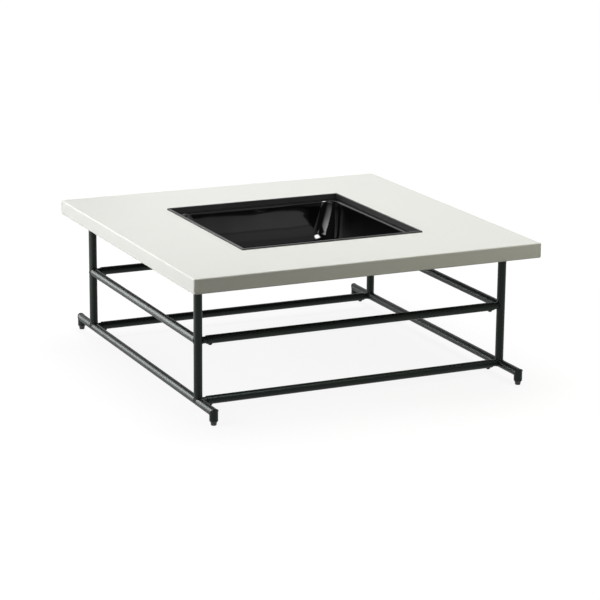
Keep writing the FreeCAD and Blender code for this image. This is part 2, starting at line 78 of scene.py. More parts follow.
FLAT = math.pi / 2
FLANGE_INSETS = (0.0, 0.0008, 0.003, 0.008)  # of the flange's contours from its cut edge
FLANGE_CORNER = 0.004  # corner radius of the flange's cut edge
ROUNDED_BAND = 0.0015  # flat band outside the roll that is already as round as the wall
ROLL_STEPS, WALL_STEPS, BOTTOM_STEPS = 10, 24, 24
FLOOR_SHARES = (0.85, 0.6, 0.35, 0.12)
CORNER_STEPS, SIDE_STEPS = 20, 24
BOW_START, BOW_RUN = 0.008, 0.03  # depth at which the waviness starts, and that over which it grows
BOW_BLOBS_PER_METRE = 7.5
BOW_SHIFTS = (Vector((3.5, 9.1, 2.4)), Vector((6.3, 1.8, 8.2)))  # in the noise, for x and for y

# Finishes

NOISE_LOW, NOISE_HIGH = 0.3, 0.7  # most of a noise's values lie between these

# Studio: places in metres, angles in radians, the lens in millimetres

PAN_MIDDLE = Vector((0, 0, 0.4))
FLOOR_HALF_WIDTH = 30.0
FLOOR_TINT = (1.0, 0.98, 0.80)
AMBIENT_TINT = (1.0, 0.985, 0.91)
FILL_TINT = (1.0, 0.98, 0.83)
CAMERA_PLACE = (-2.79781, -6.02024, 1.937)
CAMERA_YAW, CAMERA_PITCH, CAMERA_ROLL = 0.4389, 0.25908, 0.00898
CAMERA_LENS, CAMERA_SENSOR = 134.255, 36.0


# Places read from the frame

def centre(node):
    """Middle of a node's box."""
    low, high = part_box(node)
    return (low + high) / 2


def rail_level(which):
    """Height of the low or the mid rails' axis, which the side tubes share."""
    return centre(f"{which}_rail_front").z


def tube_radius():
    """Outer radius of the frame's tube."""
    low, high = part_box("low_rail_front")
    return (high.z - low.z) / 2


def stub_radius():
    """Radius of the stubs that the rails slide over, from their node's highest level."""
    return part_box("rail_stubs_left")[1].z - rail_level("mid")


# Shader maths

class Flow:
    """An output of a node; where it is a number, Python operators on it add Math nodes."""

    def __init__(self, finish, socket):
        self.finish = finish
        self.socket = socket

    def also(self, output):
        """Another output of the same node."""
        return Flow(self.finish, self.socket.node.outputs[output])

    def _math(self, operation, *values):
        return self.finish.node("ShaderNodeMath", {"operation": operation}, dict(enumerate(values)))

    def __add__(self, other):
        return self._math("ADD", self, other)

    def __radd__(self, other):
        return self._math("ADD", other, self)

    def __sub__(self, other):
        return self._math("SUBTRACT", self, other)

    def __rsub__(self, other):
        return self._math("SUBTRACT", other, self)

    def __mul__(self, other):
        return self._math("MULTIPLY", self, other)

    def __rmul__(self, other):
        return self._math("MULTIPLY", other, self)

    def __or__(self, other):
        """The greater of the two, so that one mask or the other holds."""
        return self._math("MAXIMUM", self, other)

    def __ror__(self, other):
        return self._math("MAXIMUM", other, self)

    def __abs__(self):
        return self._math("ABSOLUTE", self)


class Finish:
    """One material or world and its nodes."""

    MIX_FIRST, MIX_SECOND, MIXED = 6, 7, 2  # a Mix node's two colour inputs and its colour output

    def __init__(self, name, world=False):
        self.block = (bpy.data.worlds if world else bpy.data.materials).new(name)
        self.last_node = "ShaderNodeOutputWorld" if world else "ShaderNodeOutputMaterial"
        self.block.use_nodes = True
        self.tree = self.block.node_tree
        self.tree.nodes.clear()

    def node(self, kind, settings=None, sockets=None, output=0):
        """Adds a node: its settings first, then the values or links of its sockets."""
        node = self.tree.nodes.new(kind)
        for name, value in (settings or {}).items():
            if name == "stops":
                self._set_stops(node.color_ramp, value)
            else:
                setattr(node, name, value)
        for key, value in (sockets or {}).items():
            if isinstance(value, Flow):
                self.tree.links.new(value.socket, node.inputs[key])
            else:
                node.inputs[key].default_value = value
        return Flow(self, node.outputs[output]) if node.outputs else None

    @staticmethod
    def _set_stops(ramp, stops):
        while len(ramp.elements) < len(stops):
            ramp.elements.new(1.0)
        for element, (place, colour) in zip(ramp.elements, stops):
            element.position = place
            element.color = colour

    def place(self):
        """Where a point sits on the object, in metres."""
        return self.node("ShaderNodeTexCoord", output="Object")

    def speckle(self, size, detail=2.0, roughness=0.5, offset=(0, 0, 0)):
        """Soft noise whose blobs are about that size, in metres, from 0 to 1."""
        moved = self.node("ShaderNodeVectorMath", {"operation": "ADD"}, {0: self.place(), 1: offset})
        return self.node("ShaderNodeTexNoise", {"noise_dimensions": "3D"},
                         {"Vector": moved, "Scale": 1.0 / size, "Detail": detail, "Roughness": roughness})

    def band(self, value, low, high, to_low=0.0, to_high=1.0):
        """Value moved from one range to another and held at its ends."""
        return self.node("ShaderNodeMapRange", {"clamp": True},
                         {"Value": value, "From Min": low, "From Max": high,
                          "To Min": to_low, "To Max": to_high})

    def spread(self, cloudiness, to_low=0.0, to_high=1.0):
        """Noise moved from where most of its values lie to a range."""
        return self.band(cloudiness, NOISE_LOW, NOISE_HIGH, to_low, to_high)

    def blend(self, share, first, second):
        """Colour between two colours."""
        return self.node("ShaderNodeMix", {"data_type": "RGBA"},
                         {"Factor": share, self.MIX_FIRST: first, self.MIX_SECOND: second}, self.MIXED)

    def bump(self, height, depth, under=None):
        """Normal of a surface raised by a height from 0 to 1, depth in metres."""
        sockets = {"Height": height, "Distance": depth, "Strength": 1.0}
        if under is not None:
            sockets["Normal"] = under
        return self.node("ShaderNodeBump", sockets=sockets)

    def surface(self, **sockets):
        """Ends the material in one Principled shader and returns it."""
        named = {name.replace("_", " "): value for name, value in sockets.items()}
        return self.end(self.node("ShaderNodeBsdfPrincipled", sockets=named))

    def end(self, shader):
        """Ends the material or world in that shader and returns it."""
        self.node(self.last_node, sockets={"Surface": shader})
        return self.block


def rgba(colour, gain=1.0):
    """A colour, brightened by a gain, with the fourth value that sockets want."""
    return (colour[0] * gain, colour[1] * gain, colour[2] * gain, 1.0)


def grey(level):
    """An even grey, as sockets want it."""
    return rgba((level, level, level))


# Finishes

def powder_coat(name, colour, roughness, grain, depth, mottle, ior=1.5, tint=(1, 1, 1)):
    """Baked powder coat: faint cloudiness, orange peel and a fine grain."""
    finish = Finish(name)
    cloud = finish.speckle(size=0.11, detail=3.0)
    fine = finish.speckle(size=grain, roughness=0.6)
    peel = finish.speckle(size=grain * 4.5, detail=1.0, offset=(3.1, 1.7, 0.4))
    tone = finish.spread(cloud * 0.75 + fine * 0.25)
    base = finish.blend(tone, rgba(colour, 1.0 - mottle), rgba(colour, 1.0 + mottle))
    swing = 0.035
    sheen = finish.spread(cloud * 0.5 + peel * 0.5, roughness - swing, roughness + swing)
    normal = finish.bump(fine * 0.45 + peel * 0.55, depth)
    return finish.surface(Base_Color=base, Roughness=sheen, Normal=normal, IOR=ior,
                          Specular_Tint=rgba(tint))


def enamel(colour):
    """Vitreous enamel: deep gloss over a body that isn't quite flat."""
    finish = Finish("pan_enamel_gloss")
    wave = finish.speckle(size=0.16, detail=1.0, roughness=0.4, offset=(0.6, 0.2, 0.1))
    peel = finish.speckle(size=0.007, detail=1.0, offset=(2.0, 0.3, 0.8))
    pits = finish.band(finish.speckle(size=0.0022, roughness=0.6), low=0.70, high=0.78)
    base = finish.blend(pits, rgba(colour), rgba(colour, gain=2.4))
    polish = finish.spread(peel, to_low=0.045, to_high=0.075)
    slow = finish.bump(wave, depth=0.0035)
    normal = finish.bump(peel, depth=0.000012, under=slow)
    return finish.surface(Base_Color=base, Roughness=polish, Normal=normal, IOR=1.52)


def oxide(colour):
    """Black oxide on screw steel, a little brighter where it is rubbed."""
    finish = Finish("screw_black_oxide")
    rub = finish.band(finish.speckle(size=0.004, detail=3.0, roughness=0.6), low=0.55, high=0.72)
    base = finish.blend(rub, rgba(colour), rgba(colour, gain=2.2))
    sheen = finish.band(rub, low=0.0, high=1.0, to_low=0.42, to_high=0.34)
    normal = finish.bump(finish.speckle(size=0.0009), depth=0.00002)
    return finish.surface(Base_Color=base, Roughness=sheen, Normal=normal, Metallic=0.35)


def zinc(colour):
    """Bright zinc plate with its faint cloudy passivation."""
    finish = Finish("zinc_plate")
    cloud = finish.speckle(size=0.012, detail=3.0)
    base = finish.blend(finish.band(cloud, low=0.35, high=0.7), rgba(colour), rgba(colour, gain=0.72))
    sheen = finish.spread(cloud, to_low=0.26, to_high=0.4)
    normal = finish.bump(finish.speckle(size=0.0007), depth=0.00001)
    return finish.surface(Base_Color=base, Roughness=sheen, Normal=normal, Metallic=1.0)


def nylon(name, colour, roughness):
    """Moulded nylon with a fine spark-eroded grain."""
    finish = Finish(name)
    grain = finish.speckle(size=0.0007, roughness=0.65)
    cloud = finish.speckle(size=0.01)
    base = finish.blend(finish.spread(cloud), rgba(colour, gain=0.85), rgba(colour, gain=1.2))
    swing = 0.06
    sheen = finish.spread(grain, roughness - swing, roughness + swing)
    normal = finish.bump(grain, depth=0.00004)
    return finish.surface(Base_Color=base, Roughness=sheen, Normal=normal)


def dress(material, names):
    """Gives CAD nodes a finish through their own material slots."""
    for name in names:
        for slot in NODES[name].material_slots:
            slot.material = material


def coat_of(node):
    """The finish that a CAD node already wears."""
    return NODES[node].material_slots[0].material


# Mesh tools

def new_object(builder, name, material):
    """Turns a bmesh into an object of the scene."""
    bmesh.ops.recalc_face_normals(builder, faces=builder.faces)
    mesh = bpy.data.meshes.new(name)
    builder.to_mesh(mesh)
    builder.free()
    mesh.materials.append(material)
    made = bpy.data.objects.new(name, mesh)
    bpy.context.scene.collection.objects.link(made)
    return made


def new_piece(builder, name, body, material):
    """Turns a bmesh into a smooth piece that rides on a body of the table."""
    piece = new_object(builder, name, material)
    for face in piece.data.polygons:
        face.use_smooth = True
    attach(piece, body)
    return piece


def ring_points(count, radius, place):
    """Points round a ring; place turns the two offsets across it into a point."""
    angles = [2 * math.pi * index / count for index in range(count)]
    return [place(radius * math.cos(angle), radius * math.sin(angle)) for angle in angles]


def join_rings(builder, first, second):
    """Faces between two rings of as many vertices."""
    count = len(first)
    for index in range(count):
        after = (index + 1) % count
        builder.faces.new((first[index], first[after], second[after], second[index]))


def add_bead(builder, path, radius, seed, closed=False):
    """Sweeps a rippled weld bead along a path of points into a bmesh."""
    count = len(path)
    travelled = 0.0
    rings = []
    for index, point in enumerate(path):
        before = path[index - 1] if index or closed else point
        after = path[(index + 1) % count] if index < count - 1 or closed else point
        along = (after - before).normalized()
        if index:
            travelled += (point - path[index - 1]).length
        ripple = RIPPLE * math.sin(2 * math.pi * travelled / RIPPLE_PITCH)
        wander = WANDER * noise.noise(point * WANDER_BLOBS_PER_METRE + Vector((seed, 0, 0)))
        grown = radius * (1 + ripple + wander)
        if not closed and index in (0, count - 1):
            grown *= BEAD_END
        across = along.cross(SKEW_DIRECTION).normalized()
        other = along.cross(across)
        ring = ring_points(BEAD_SIDES, grown, lambda side, up: point + across * side + other * up)
        rings.append([builder.verts.new(corner) for corner in ring])
    following = rings[1:] + rings[:1] if closed else rings[1:]
    for ring, after in zip(rings, following):
        join_rings(builder, ring, after)
    if not closed:
        builder.faces.new(rings[0][::-1])
        builder.faces.new(rings[-1])


def straight(start, end):
    """Points along a straight run, close enough together for the ripples."""
    count = max(2, round((end - start).length / BEAD_STEP))
    return [start.lerp(end, index / count) for index in range(count + 1)]


# Sizes and colours

class FirePitSizes(bpy.types.PropertyGroup):
    bead: FloatProperty(name="Weld bead", description="Radius of the frame's fillet welds",
                        default=0.0019, min=0.0005, max=0.005, unit="LENGTH")
    dressed_bead: FloatProperty(name="Dressed bead", description="Radius of the ground elbow welds",
                                default=0.0011, min=0.0003, max=0.003, unit="LENGTH")
    stitch: FloatProperty(name="Stitch length", description="Length of each weld under the top",
                          default=0.028, min=0.01, max=0.08, unit="LENGTH")
    stitch_spacing: FloatProperty(name="Stitch spacing", description="Distance between those welds",
                                  default=0.14, min=0.05, max=0.4, unit="LENGTH")
    top_fold: FloatProperty(name="Top fold", description="How far the top folds down at the opening",
                            default=0.014, min=0.005, max=0.03, unit="LENGTH")
    tab_spacing: FloatProperty(name="Tab spacing", description="Distance between the tabs of one side",
                               default=0.32, min=0.1, max=0.5, unit="LENGTH")
    tab_width: FloatProperty(name="Tab width", description="Width of the tabs under the collar",
                             default=0.03, min=0.01, max=0.06, unit="LENGTH")
    pan_sheet: FloatProperty(name="Pan sheet", description="Thickness of the pan's sheet",
                             default=0.0016, min=0.0005, max=0.005, unit="LENGTH")
    pan_flange: FloatProperty(name="Pan flange", description="Width of the pan's flat flange",
                              default=0.014, min=0.005, max=0.05, unit="LENGTH")
    pan_roll: FloatProperty(name="Pan roll", description="Radius where the flange rolls into the wall",
                            default=0.006, min=0.002, max=0.02, unit="LENGTH")
    pan_corner: FloatProperty(name="Pan corner", description="Radius of the wall's corners at the top",
                              default=0.045, min=0.02, max=0.12, unit="LENGTH")
    pan_corner_growth: FloatProperty(name="Corner growth",
                                     description="How much rounder they get, per length of wall",
                                     default=0.15, min=0, max=1)
    pan_corner_draw: FloatProperty(name="Corner draw",
                                   description="How much tighter they get, per length of bottom",
                                   default=0.35, min=0, max=1)
    pan_draft: FloatProperty(name="Pan draft", description="Slope of the wall at its top",
                             default=math.radians(6), min=0, max=0.6, subtype="ANGLE")
    pan_wall_radius: FloatProperty(name="Wall radius",
                                   description="Radius of the wall's hollow curve from top to bottom",
                                   default=0.35, min=0.1, max=5, unit="LENGTH")
    pan_bottom_radius: FloatProperty(name="Bottom radius", description="Radius between wall and floor",
                                     default=0.05, min=0.01, max=0.09, unit="LENGTH")
    pan_bow: FloatProperty(name="Pan bow", description="How far the pressed sheet strays from true",
                           default=0.0007, min=0, max=0.003, unit="LENGTH")


class FirePitColours(bpy.types.PropertyGroup):
    top: FloatVectorProperty(name="Top", description="Powder coat of the top and its skirt",
                             default=(0.80, 0.81, 0.775), size=3, subtype="COLOR", min=0, max=1)
    under: FloatVectorProperty(name="Underside", description="Powder coat on the bearers",
                               default=(0.74, 0.75, 0.72), size=3, subtype="COLOR", min=0, max=1)
    tube: FloatVectorProperty(name="Frame", description="Powder coat of the tube frame",
                              default=(0.006, 0.0072, 0.0066), size=3, subtype="COLOR", min=0, max=1)
    collar: FloatVectorProperty(name="Collar", description="Heat-resistant black of the collar",
                                default=(0.020, 0.0225, 0.0215), size=3, subtype="COLOR", min=0, max=1)
    pan: FloatVectorProperty(name="Pan", description="Enamel of the fire pan",
                             default=(0.0045, 0.0045, 0.005), size=3, subtype="COLOR", min=0, max=1)
    fastener: FloatVectorProperty(name="Screws", description="Black oxide of the screws",
                                  default=(0.020, 0.021, 0.021), size=3, subtype="COLOR", min=0, max=1)
    zinc: FloatVectorProperty(name="Plated steel", description="Zinc of the nuts and studs",
                              default=(0.62, 0.62, 0.60), size=3, subtype="COLOR", min=0, max=1)
    nylon: FloatVectorProperty(name="Nylon", description="Plastic of the glides and inserts",
                               default=(0.014, 0.014, 0.014), size=3, subtype="COLOR", min=0, max=1)


class FirePitStudio(bpy.types.PropertyGroup):
    key: FloatProperty(name="Key light", description="Power of the large light on the left",
                       default=69.0, min=0, subtype="POWER")
    overhead: FloatProperty(name="Overhead light", description="Power of the light above",
                            default=91.5, min=0, subtype="POWER")
    fill: FloatProperty(name="Front fill", description="Power of the weak light at the front right",
                        default=8.6, min=0, subtype="POWER")
    ambient: FloatProperty(name="Ambient", description="Strength of the surroundings on the object",
                           default=0.067, min=0, max=2)
    floor: FloatProperty(name="Floor bounce", description="How much light the floor gives back",
                         default=0.165, min=0, max=1)


# Operators

class FIREPIT_OT_top(bpy.types.Operator):
    """Powder coats the folded top and the bearers under it"""
    bl_idname = "firepit.top"
    bl_label = "Top and bearers"

    def execute(self, context):
        colours = context.scene.fire_pit_colours
        coat = powder_coat("top_powder_coat", colours.top, roughness=0.55, grain=0.0011,
                           depth=0.00003, mottle=0.006, ior=1.36)
        dress(coat, ["top_skin"])
        under = powder_coat("underside_powder_coat", colours.under, roughness=0.62, grain=0.0013,
                            depth=0.00005, mottle=0.02)
        dress(under, [name for name in NODES if "bearer" in name])
        return {"FINISHED"}


class FIREPIT_OT_frame(bpy.types.Operator):
    """Powder coats the legs, side tubes, rails, stubs and plates"""
    bl_idname = "firepit.frame"
    bl_label = "Tube frame"

    def execute(self, context):
        colour = context.scene.fire_pit_colours.tube
        coat = powder_coat("frame_powder_coat", colour, roughness=0.42, grain=0.0009,
                           depth=0.00001, mottle=0.08, ior=1.32, tint=(0.80, 1.0, 0.88))
        starts = ("leg_front", "leg_back", "leg_plate_front", "leg_plate_back", "low_", "mid_",
                  "foot_drop", "rail_stubs")
        dress(coat, [name for name in NODES if name.startswith(starts)])
        return {"FINISHED"}


class FIREPIT_OT_collar(bpy.types.Operator):
    """Finishes the collar, its ledge strips and tabs"""
    bl_idname = "firepit.collar"
    bl_label = "Collar"

    def execute(self, context):
        colour = context.scene.fire_pit_colours.collar
        coat = powder_coat("collar_heat_black", colour, roughness=0.42, grain=0.0008,
                           depth=0.00003, mottle=0.10)
        starts = ("collar_bar", "pan_ledge")
        dress(coat, [name for name in NODES if name.startswith(starts) or name == "collar_tabs"])
        return {"FINISHED"}


class FIREPIT_OT_pan(bpy.types.Operator):
    """Presses the fire pan from one sheet and enamels it"""
    bl_idname = "firepit.pan"
    bl_label = "Fire pan"

    def execute(self, context):
        builder = pressed_pan(context.scene.fire_pit_sizes)
        gloss = enamel(context.scene.fire_pit_colours.pan)
        pan = new_piece(builder, "enamelled_pan", "pan", gloss)
        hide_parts("fire_pan")
        return {"FINISHED"}


Station = namedtuple("Station", "half corner level slope")


def pan_section(sizes):
    """Stations down the pan's upper face, from the flange's edge to the middle of its floor.

    Each is the contour's half width, its corner radius, its level and the sheet's slope from upright.
    """
    low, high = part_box("fire_pan")
    half, top, floor = high.x, high.z, low.z + sizes.pan_sheet
    stations = [Station(half - inset, max(FLANGE_CORNER - inset, FLANGE_CORNER / 2), top, FLAT)
                for inset in FLANGE_INSETS]
    flange_end, corner = half - sizes.pan_flange, sizes.pan_corner + sizes.pan_roll
    stations.append(Station(flange_end + ROUNDED_BAND, corner, top, FLAT))
    stations.append(Station(flange_end, corner, top, FLAT))
    draft, wall, bottom = sizes.pan_draft, sizes.pan_wall_radius, sizes.pan_bottom_radius
    stations += bend(stations[-1], -sizes.pan_roll, draft, ROLL_STEPS, corner_per_inward=-1)
    depth = stations[-1].level - floor
    wall_end = math.asin((depth - bottom + wall * math.sin(draft)) / (wall - bottom))
    stations += bend(stations[-1], wall, wall_end, WALL_STEPS, corner_per_run=sizes.pan_corner_growth)
    stations += bend(stations[-1], bottom, FLAT, BOTTOM_STEPS, corner_per_inward=-sizes.pan_corner_draw)
    last = stations[-1]
    stations += [Station(last.half * share, last.corner * share, floor, FLAT) for share in FLOOR_SHARES]
    return stations


def bend(last, radius, slope, steps, corner_per_inward=0.0, corner_per_run=0.0):
    """Stations on an arc that turns the sheet to a slope; one of negative radius bulges inward.

    The corner radius changes with the way inward or with the length run along the arc.
    """
    stations = []
    for step in range(1, steps + 1):
        here = last.slope + (slope - last.slope) * step / steps
        inward = radius * (math.cos(last.slope) - math.cos(here))
        drop = radius * (math.sin(here) - math.sin(last.slope))
        run = radius * (here - last.slope)
        corner = last.corner + corner_per_inward * inward + corner_per_run * run
        stations.append(Station(last.half - inward, corner, last.level - drop, here))
    return stations


def rounded_square(half, radius, level):
    """Points round a square with rounded corners."""
    points = []
    reach = half - radius
    for quarter in range(4):
        middle = Matrix.Rotation(math.pi / 2 * quarter, 2) @ Vector((reach, reach))
        for step in range(CORNER_STEPS + 1):
            angle = math.pi / 2 * (quarter + step / CORNER_STEPS)
            points.append(Vector((middle.x + radius * math.cos(angle),
                                  middle.y + radius * math.sin(angle), level)))
        ahead = Matrix.Rotation(math.pi / 2 * (quarter + 1), 2) @ Vector((half, reach))
        here = points[-1]
        following = Vector((ahead.x, ahead.y, level))
        points += [here.lerp(following, step / SIDE_STEPS) for step in range(1, SIDE_STEPS)]
    return points


def slightly_bowed(point, top, bow):
    """Point moved a little in plan, as a pressed and fired sheet is never quite flat."""
    share = min(max((top - BOW_START - point.z) / BOW_RUN, 0.0), 1.0) * bow
    x, y = (noise.noise(point * BOW_BLOBS_PER_METRE + shift) for shift in BOW_SHIFTS)
    return point + Vector((x, y, 0)) * share


def pressed_pan(sizes):
    """The pan's upper and under face, a sheet apart and joined at the flange's edge."""
    stations = pan_section(sizes)
    top = stations[0].level
    builder = bmesh.new()
    edges = []
    for thickness in (0.0, sizes.pan_sheet):
        rings = []
        for station in stations:
            out = thickness * math.cos(station.slope)
            level = station.level - thickness * math.sin(station.slope)
            contour = rounded_square(station.half + out, station.corner + out, level)
            rings.append([builder.verts.new(slightly_bowed(point, top, sizes.pan_bow))
                          for point in contour])
        for outer, inner in zip(rings, rings[1:]):
            join_rings(builder, outer, inner)
        builder.faces.new(rings[-1])
        edges.append(rings[0])
    join_rings(builder, *edges)
    return builder


class FIREPIT_OT_fasteners(bpy.types.Operator):
    """Finishes the screws, nuts and studs"""
    bl_idname = "firepit.fasteners"
    bl_label = "Screws, nuts and studs"

    def execute(self, context):
        colours = context.scene.fire_pit_colours
        dress(oxide(colours.fastener), ["rail_bolts", "leg_plate_screws", "collar_tab_screws"])
        dress(zinc(colours.zinc), [name for name in NODES
                                   if name.endswith("_nuts") or name.startswith("foot_stud")])
        return {"FINISHED"}


class FIREPIT_OT_feet(bpy.types.Operator):
    """Finishes the levelling glides and the inserts in the foot tubes"""
    bl_idname = "firepit.feet"
    bl_label = "Glides and inserts"

    def execute(self, context):
        colour = context.scene.fire_pit_colours.nylon
        glides = [name for name in NODES if name.startswith("foot_glide")]
        dress(nylon("glide_nylon", colour, roughness=0.46), glides)
        dress(nylon("insert_nylon", colour, roughness=0.58), ["foot_inserts"])
        return {"FINISHED"}


class FIREPIT_OT_frame_welds(bpy.types.Operator):
    """Adds the weld beads at the tube joints"""
    bl_idname = "firepit.frame_welds"
    bl_label = "Frame welds"

    def execute(self, context):
        sizes = context.scene.fire_pit_sizes
        builder = bmesh.new()
        for seed, (name, (x_sign, y_sign)) in enumerate(CORNERS.items()):
            for seam, radius in leg_seams(name, y_sign, sizes):
                add_bead(builder, seam, radius, seed, closed=True)
            for which in ("low", "mid"):
                seam = stub_seam(name, which, x_sign, y_sign)
                add_bead(builder, seam, sizes.bead * SMALL_BEAD, seed + STUB_SEED, closed=True)
        new_piece(builder, "frame_weld_beads", "table", coat_of("leg_front_left"))
        return {"FINISHED"}


def leg_seams(name, y_sign, sizes):
    """Seams round one leg and at its foot's elbow, each with the radius of its bead."""
    radius = tube_radius()
    low, mid = rail_level("low"), rail_level("mid")
    leg = centre(f"leg_{name}")
    foot_x, foot_y = centre(f"foot_drop_{name}").x, centre(f"foot_glide_{name}").y
    plate_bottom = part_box(f"leg_plate_{name}")[0].z
    elbow_reach = radius - ELBOW_MARGIN * sizes.dressed_bead

    def leg_on_tube(across, along):
        return Vector((leg.x + across, leg.y + along, low + abs(along)))

    def tube_on_leg(across, up):
        return Vector((leg.x + across, leg.y - y_sign * abs(up), mid + up))

    def leg_under_plate(across, along):
        return Vector((leg.x + across, leg.y + along, plate_bottom))

    def elbow(across, up):
        return Vector((foot_x + across, foot_y + y_sign * min(up, elbow_reach), low + up))

    beads = ((leg_on_tube, sizes.bead), (tube_on_leg, sizes.bead), (leg_under_plate, sizes.bead),
             (elbow, sizes.dressed_bead))
    return [(ring_points(LEG_SEAM_POINTS, radius, place), bead) for place, bead in beads]


def stub_seam(name, which, x_sign, y_sign):
    """Seam where a rail's stub leaves its leg and the side tube that meets the leg there.

    The low side tube passes under the leg, and the mid one runs from it towards the middle.
    """
    radius, level, leg = tube_radius(), rail_level(which), centre(f"leg_{name}")

    def root(along, up):
        on_leg = math.sqrt(radius ** 2 - along ** 2)
        on_tube = math.sqrt(radius ** 2 - up ** 2)
        if which == "low":
            reach = max(on_leg, on_tube) if up > 0 else on_tube
        else:
            reach = max(on_leg, on_tube) if along * y_sign < 0 else on_leg
        return Vector((leg.x - x_sign * reach, leg.y + along, level + up))

    return ring_points(STUB_SEAM_POINTS, stub_radius(), root)


class FIREPIT_OT_top_welds(bpy.types.Operator):
    """Adds the welds that hold the bearers, the ledge strips and the tabs"""
    bl_idname = "firepit.top_welds"
    bl_label = "Top and collar welds"

    def execute(self, context):
        sizes = context.scene.fire_pit_sizes
        builder = bmesh.new()
        add_stitches(builder, bearer_seams(sizes), sizes.bead * SMALL_BEAD, sizes)
        add_full_beads(builder, bearer_ends(), sizes.bead * SMALL_BEAD, BEARER_END_SEED)
        new_piece(builder, "bearer_welds", "table", coat_of("side_bearer_left"))
        builder = bmesh.new()
        add_stitches(builder, ledge_seams(), sizes.dressed_bead, sizes)
        add_full_beads(builder, tab_seams(sizes), sizes.dressed_bead, TAB_SEED)
        new_piece(builder, "collar_welds", "table", coat_of("collar_tabs"))
        return {"FINISHED"}


def add_stitches(builder, seams, radius, sizes):
    """Short beads along each seam, spaced evenly."""
    for seed, (start, end) in enumerate(seams):
        count = max(1, round((end - start).length / sizes.stitch_spacing))
        half = (end - start).normalized() * (sizes.stitch / 2)
        for index in range(count):
            middle = start.lerp(end, (index + 0.5) / count)
            add_bead(builder, straight(middle - half, middle + half), radius, seed)


def add_full_beads(builder, seams, radius, first_seed):
    """One bead from end to end of each seam."""
    for seed, (start, end) in enumerate(seams, first_seed):
        add_bead(builder, straight(start, end), radius, seed)


def seam_between(first, last, level):
    """Ends of a level seam between two places in plan."""
    return Vector((*first, level)), Vector((*last, level))


def bearer_seams(sizes):
    """Edges where the bearers' sides meet the top, and where its folded edge meets them."""
    side, cross, opening = (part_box(name) for name in BEARERS)
    side_in, (side_out, reach, top) = side[0].x, side[1]
    cross_in, cross_out = cross[0].y, cross[1].y
    open_in, open_out = opening[0].x, opening[1].x
    open_run, cross_run = open_in * CLEAR_RUN, cross_in * CLEAR_RUN
    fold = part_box("top_skin")[1].z - sizes.top_fold
    seams = []
    for sign in (-1, 1):
        seams += [
            seam_between((sign * side_out, -reach), (sign * side_out, reach), top),
            seam_between((sign * side_in, -cross_in), (sign * side_in, cross_in), top),
            seam_between((-side_in, sign * cross_out), (side_in, sign * cross_out), top),
            seam_between((sign * open_out, -cross_in), (sign * open_out, cross_in), top),
            seam_between((sign * open_in, -cross_run), (sign * open_in, cross_run), fold),
            seam_between((-open_run, sign * cross_in), (open_run, sign * cross_in), fold),
        ]
        for other in (-1, 1):
            seams += [
                seam_between((sign * side_in, other * cross_out), (sign * side_in, other * reach), top),
                seam_between((sign * open_out, other * cross_in), (sign * side_in, other * cross_in), top),
            ]
    return seams


def bearer_ends():
    """Butt joints of the bearers, seen from below."""
    side, cross, opening = (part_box(name) for name in BEARERS)
    side_in, level = side[0].x, side[0].z
    seams = []
    for x_sign in (-1, 1):
        for y_sign in (-1, 1):
            cross_in, cross_out = y_sign * cross[0].y, y_sign * cross[1].y
            seams.append(seam_between((x_sign * side_in, cross_in), (x_sign * side_in, cross_out), level))
            seams.append(seam_between((x_sign * opening[0].x, cross_in),
                                      (x_sign * opening[1].x, cross_in), level))
    return seams


def ledge_seams():
    """Corners under the ledge strips, against the collar bars."""
    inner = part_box("collar_bar_right")[0].x
    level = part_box("pan_ledge_right")[0].z
    run = inner * CLEAR_RUN
    return [seam for sign in (-1, 1) for seam in (
        seam_between((sign * inner, -run), (sign * inner, run), level),
        seam_between((-run, sign * inner), (run, sign * inner), level))]


def tab_seams(sizes):
    """Both edges of each tab, under its collar bar."""
    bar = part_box("collar_bar_right")
    inner, outer, level = bar[0].x, bar[1].x, bar[0].z
    seams = []
    for middle in (-sizes.tab_spacing / 2, sizes.tab_spacing / 2):
        for edge in (middle - sizes.tab_width / 2, middle + sizes.tab_width / 2):
            for sign in (-1, 1):
                seams.append(seam_between((sign * inner, edge), (sign * outer, edge), level))
                seams.append(seam_between((edge, sign * inner), (edge, sign * outer), level))
    return seams


class FIREPIT_OT_stage(bpy.types.Operator):
    """Sets the pale floor, the soft lights, the surroundings and the camera"""
    bl_idname = "firepit.stage"
    bl_label = "Studio"

    def execute(self, context):
        scene = context.scene
        studio = scene.fire_pit_studio
        scene.view_settings.view_transform = "Standard"
        scene.world = surroundings(studio.ambient)
        studio_floor(studio.floor)
        area_light("key_light", place=(-3.04, -0.05, 0.95), target=(0.0, 0.1, 0.3), width=2.6,
                   power=studio.key)
        area_light("overhead_light", place=(0.37, 0.87, 3.4), target=(0.0, 0.0, 0.4), width=2.6,
                   power=studio.overhead)
        area_light("front_fill_light", place=(0.98, -1.71, 1.38), target=(0.4, 0.0, 0.3), width=1.2,
                   power=studio.fill, colour=FILL_TINT)
        hang_cards()
        scene.camera = photograph_camera()
        return {"FINISHED"}


def seen_straight(finish):
    """1 for rays from the camera, from a mirror or through glass, and 0 for the light itself."""
    direct = finish.node("ShaderNodeLightPath", output="Is Camera Ray")
    return direct | direct.also("Is Glossy Ray") | direct.also("Is Transmission Ray")


def surroundings(strength):
    """White to the eye and in gloss, and much dimmer as a light."""
    finish = Finish("pale_surroundings", world=True)
    seen = finish.node("ShaderNodeBackground", sockets={"Color": grey(1.0), "Strength": 1.0})
    cast = finish.node("ShaderNodeBackground",
                       sockets={"Color": rgba(AMBIENT_TINT), "Strength": strength})
    mixed = finish.node("ShaderNodeMixShader", sockets={0: seen_straight(finish), 1: cast, 2: seen})
    return finish.end(mixed)


